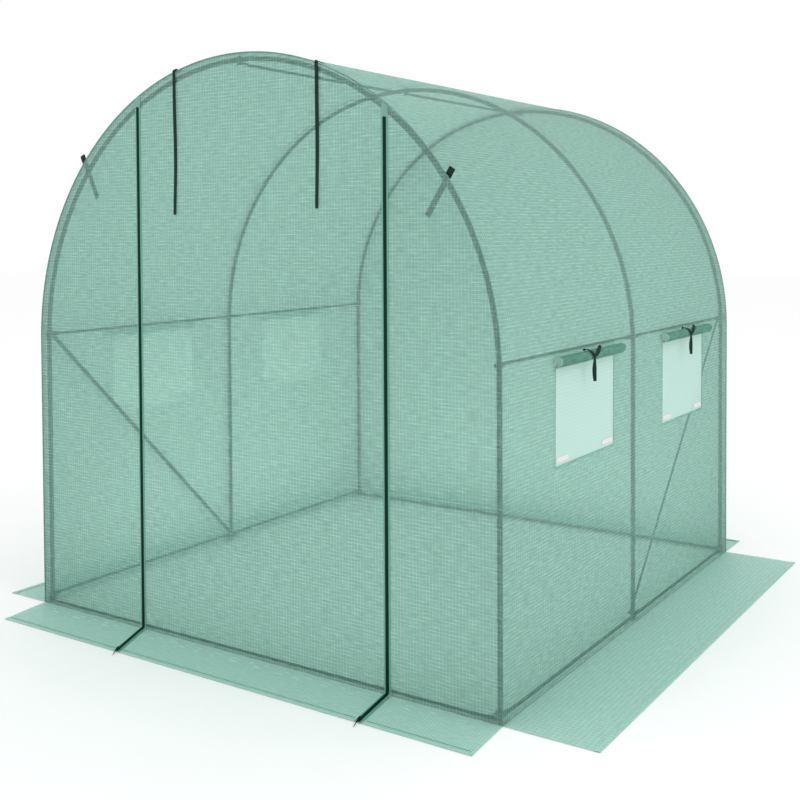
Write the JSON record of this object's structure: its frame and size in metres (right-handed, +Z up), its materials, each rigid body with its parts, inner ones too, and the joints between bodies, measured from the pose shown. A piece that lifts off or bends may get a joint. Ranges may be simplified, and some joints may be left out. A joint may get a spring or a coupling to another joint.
{
  "type": "polytunnel greenhouse",
  "caption": "Walk-in barrel-roofed tunnel greenhouse: bolted steel tube hoops, purlins and braces under a green woven sheet cover with zipped door, screened side windows and ground skirts.",
  "frame": {"origin": "middle of the whole footprint, skirts included, at ground level", "axes": "+Z up, -Y out through the zipped front, +X to the right seen from the front, where the wide skirt lies"},
  "size_m": [2.5, 2.4, 1.9998],
  "materials": {
    "tube": "dark galvanised, satin",
    "sheet": "translucent green woven polyethylene sheet",
    "flap": "rolled woven polyethylene sheet",
    "zip": "black coil on woven tape",
    "screen": "pale insect mesh",
    "strap": "dark woven webbing"
  },
  "bodies": {
    "root": {"door_panel": "sheet", "door_ties": "strap", "front_left_arc": "tube", "front_left_panel": "sheet", "front_left_post": "tube", "front_rail": "tube", "front_right_arc": "tube", "front_right_panel": "sheet", "front_right_post": "tube", "front_skirt": "sheet", "hoop_ties": "strap", "left_brace": "tube", "left_purlin_front": "tube", "left_purlin_rear": "tube", "left_rail_front": "tube", "left_rail_rear": "tube", "left_rolls": "flap", "left_screens": "screen", "left_skirt": "sheet", "left_wall": "sheet", "left_zip": "zip", "mid_left_arc": "tube", "mid_left_post": "tube", "mid_right_arc": "tube", "mid_right_post": "tube", "rear_left_arc": "tube", "rear_left_post": "tube", "rear_panel": "sheet", "rear_rail": "tube", "rear_right_arc": "tube", "rear_right_post": "tube", "rear_skirt": "sheet", "ridge_purlin_front": "tube", "ridge_purlin_rear": "tube", "right_brace": "tube", "right_purlin_front": "tube", "right_purlin_rear": "tube", "right_rail_front": "tube", "right_rail_rear": "tube", "right_rolls": "flap", "right_screens": "screen", "right_skirt": "sheet", "right_wall": "sheet", "right_zip": "zip", "roof_cover": "sheet", "window_ties": "strap"}
  },
  "joints": []
}
